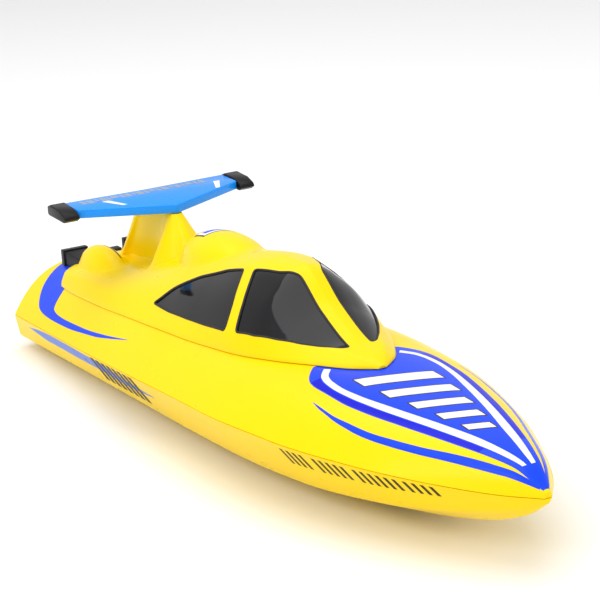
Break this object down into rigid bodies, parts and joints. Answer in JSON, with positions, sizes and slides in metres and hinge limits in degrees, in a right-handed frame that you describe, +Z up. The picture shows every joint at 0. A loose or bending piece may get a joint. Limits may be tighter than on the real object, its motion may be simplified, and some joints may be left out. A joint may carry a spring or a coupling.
{
  "type": "rc boat",
  "caption": "Radio-controlled racing boat: planing hull and deck, lift-up canopy with smoked windows and rear wing, single propeller, steering rudder and the drive gear inside.",
  "frame": {"origin": "under the middle of the boat's box, level with the flat of the keel", "axes": "+X from the stern to the bow, +Y to port, +Z up"},
  "size_m": [0.373, 0.103, 0.0799],
  "materials": {
    "yellow_plastic": "gloss",
    "blue_plastic": "gloss",
    "black_plastic": "gloss",
    "black_matte": "matte",
    "smoked_window": "gloss",
    "white_plastic": "satin",
    "servo_case": "satin",
    "rubber": "matte",
    "hose": "satin",
    "wire_red": "satin",
    "wire_black": "satin",
    "steel": "satin",
    "brass": "satin",
    "aluminium": "satin",
    "cell_wrap": "gloss"
  },
  "bodies": {
    "hull": {"hull_shell": "yellow_plastic", "deck_shell": "yellow_plastic", "hatch_seal": "rubber", "inner_hatch": "white_plastic", "motor_can": "steel", "motor_end_bell": "white_plastic", "cooling_jacket": "aluminium", "motor_mount": "aluminium", "motor_screw_starboard": "steel", "motor_screw_port": "steel", "shaft_tube": "brass", "rudder_bracket": "black_matte", "bracket_screw_1": "steel", "bracket_screw_2": "steel", "bracket_screw_3": "steel", "pushrod_boot": "rubber", "servo": "servo_case", "servo_mount": "black_matte", "battery_pack": "cell_wrap", "equipment_tray": "black_matte", "battery_strap": "rubber", "receiver_speed_controller": "black_matte", "battery_plug": "white_plastic", "water_inlet": "brass", "water_outlet": "brass", "motor_lead_starboard": "wire_red", "motor_lead_port": "wire_black", "servo_lead": "wire_black", "battery_lead": "wire_red", "inlet_hose": "hose", "outlet_hose": "hose", "water_contact_starboard": "steel", "water_contact_port": "steel"},
    "canopy": {"canopy": "yellow_plastic", "window_rear_starboard": "smoked_window", "window_front_starboard": "smoked_window", "window_rear_port": "smoked_window", "window_front_port": "smoked_window", "exhaust_starboard": "black_plastic", "exhaust_port": "black_plastic", "wing_pylon": "yellow_plastic", "wing": "blue_plastic", "wing_cap_starboard": "black_plastic", "wing_cap_port": "black_plastic", "wing_screw_1": "steel", "wing_screw_2": "steel"},
    "canopy_latch": {"canopy_latch": "black_matte"},
    "hatch_button_rear": {"hatch_button_1": "black_matte"},
    "hatch_button_front": {"hatch_button_2": "black_matte"},
    "drive_line": {"propeller": "black_matte", "propeller_nut": "brass", "drive_shaft": "steel", "shaft_coupling": "brass", "motor_shaft": "steel"},
    "rudder": {"rudder": "black_matte", "rudder_arm": "aluminium"},
    "servo_horn": {"servo_horn": "white_plastic", "servo_spline": "white_plastic"},
    "pushrod": {"steering_pushrod": "steel"}
  },
  "joints": [
    {"name": "propeller_spin", "type": "hinge", "parent": "hull", "child": "drive_line", "pos_m": [-0.1625, 0, 0.0124], "axis": [0.9976, 0, 0.0698], "continuous": true},
    {"name": "rudder_turn", "type": "hinge", "parent": "hull", "child": "rudder", "pos_m": [-0.1755, 0, 0.02], "axis": [0, 0, 1], "range_deg": [-25, 25]},
    {"name": "servo_horn_turn", "type": "hinge", "parent": "hull", "child": "servo_horn", "pos_m": [-0.1075, 0.022, 0.03], "axis": [0, 0, 1], "range_deg": [-25, 25]},
    {"name": "pushrod_slide", "type": "slide", "parent": "hull", "child": "pushrod", "axis": [1, 0, 0], "range_m": [-0.00505, 0.00505]},
    {"name": "canopy_open", "type": "hinge", "parent": "hull", "child": "canopy", "pos_m": [0.0913, 0, 0.0482], "axis": [0, 1, 0], "range_deg": [0, 60]},
    {"name": "canopy_latch_turn", "type": "hinge", "parent": "hull", "child": "canopy_latch", "pos_m": [-0.1382, 0, 0.042], "axis": [0, 0, 1], "range_deg": [0, 90]},
    {"name": "hatch_button_rear_turn", "type": "hinge", "parent": "hull", "child": "hatch_button_rear", "pos_m": [-0.0645, 0, 0.044], "axis": [0, 0, 1], "range_deg": [0, 90]},
    {"name": "hatch_button_front_turn", "type": "hinge", "parent": "hull", "child": "hatch_button_front", "pos_m": [0.0495, 0, 0.044], "axis": [0, 0, 1], "range_deg": [0, 90]}
  ],
  "couplings": [
    {"joint": "servo_horn_turn", "follows": "rudder_turn", "ratio": -1},
    {"joint": "pushrod_slide", "follows": "rudder_turn", "m_per_rad": -0.0115}
  ]
}
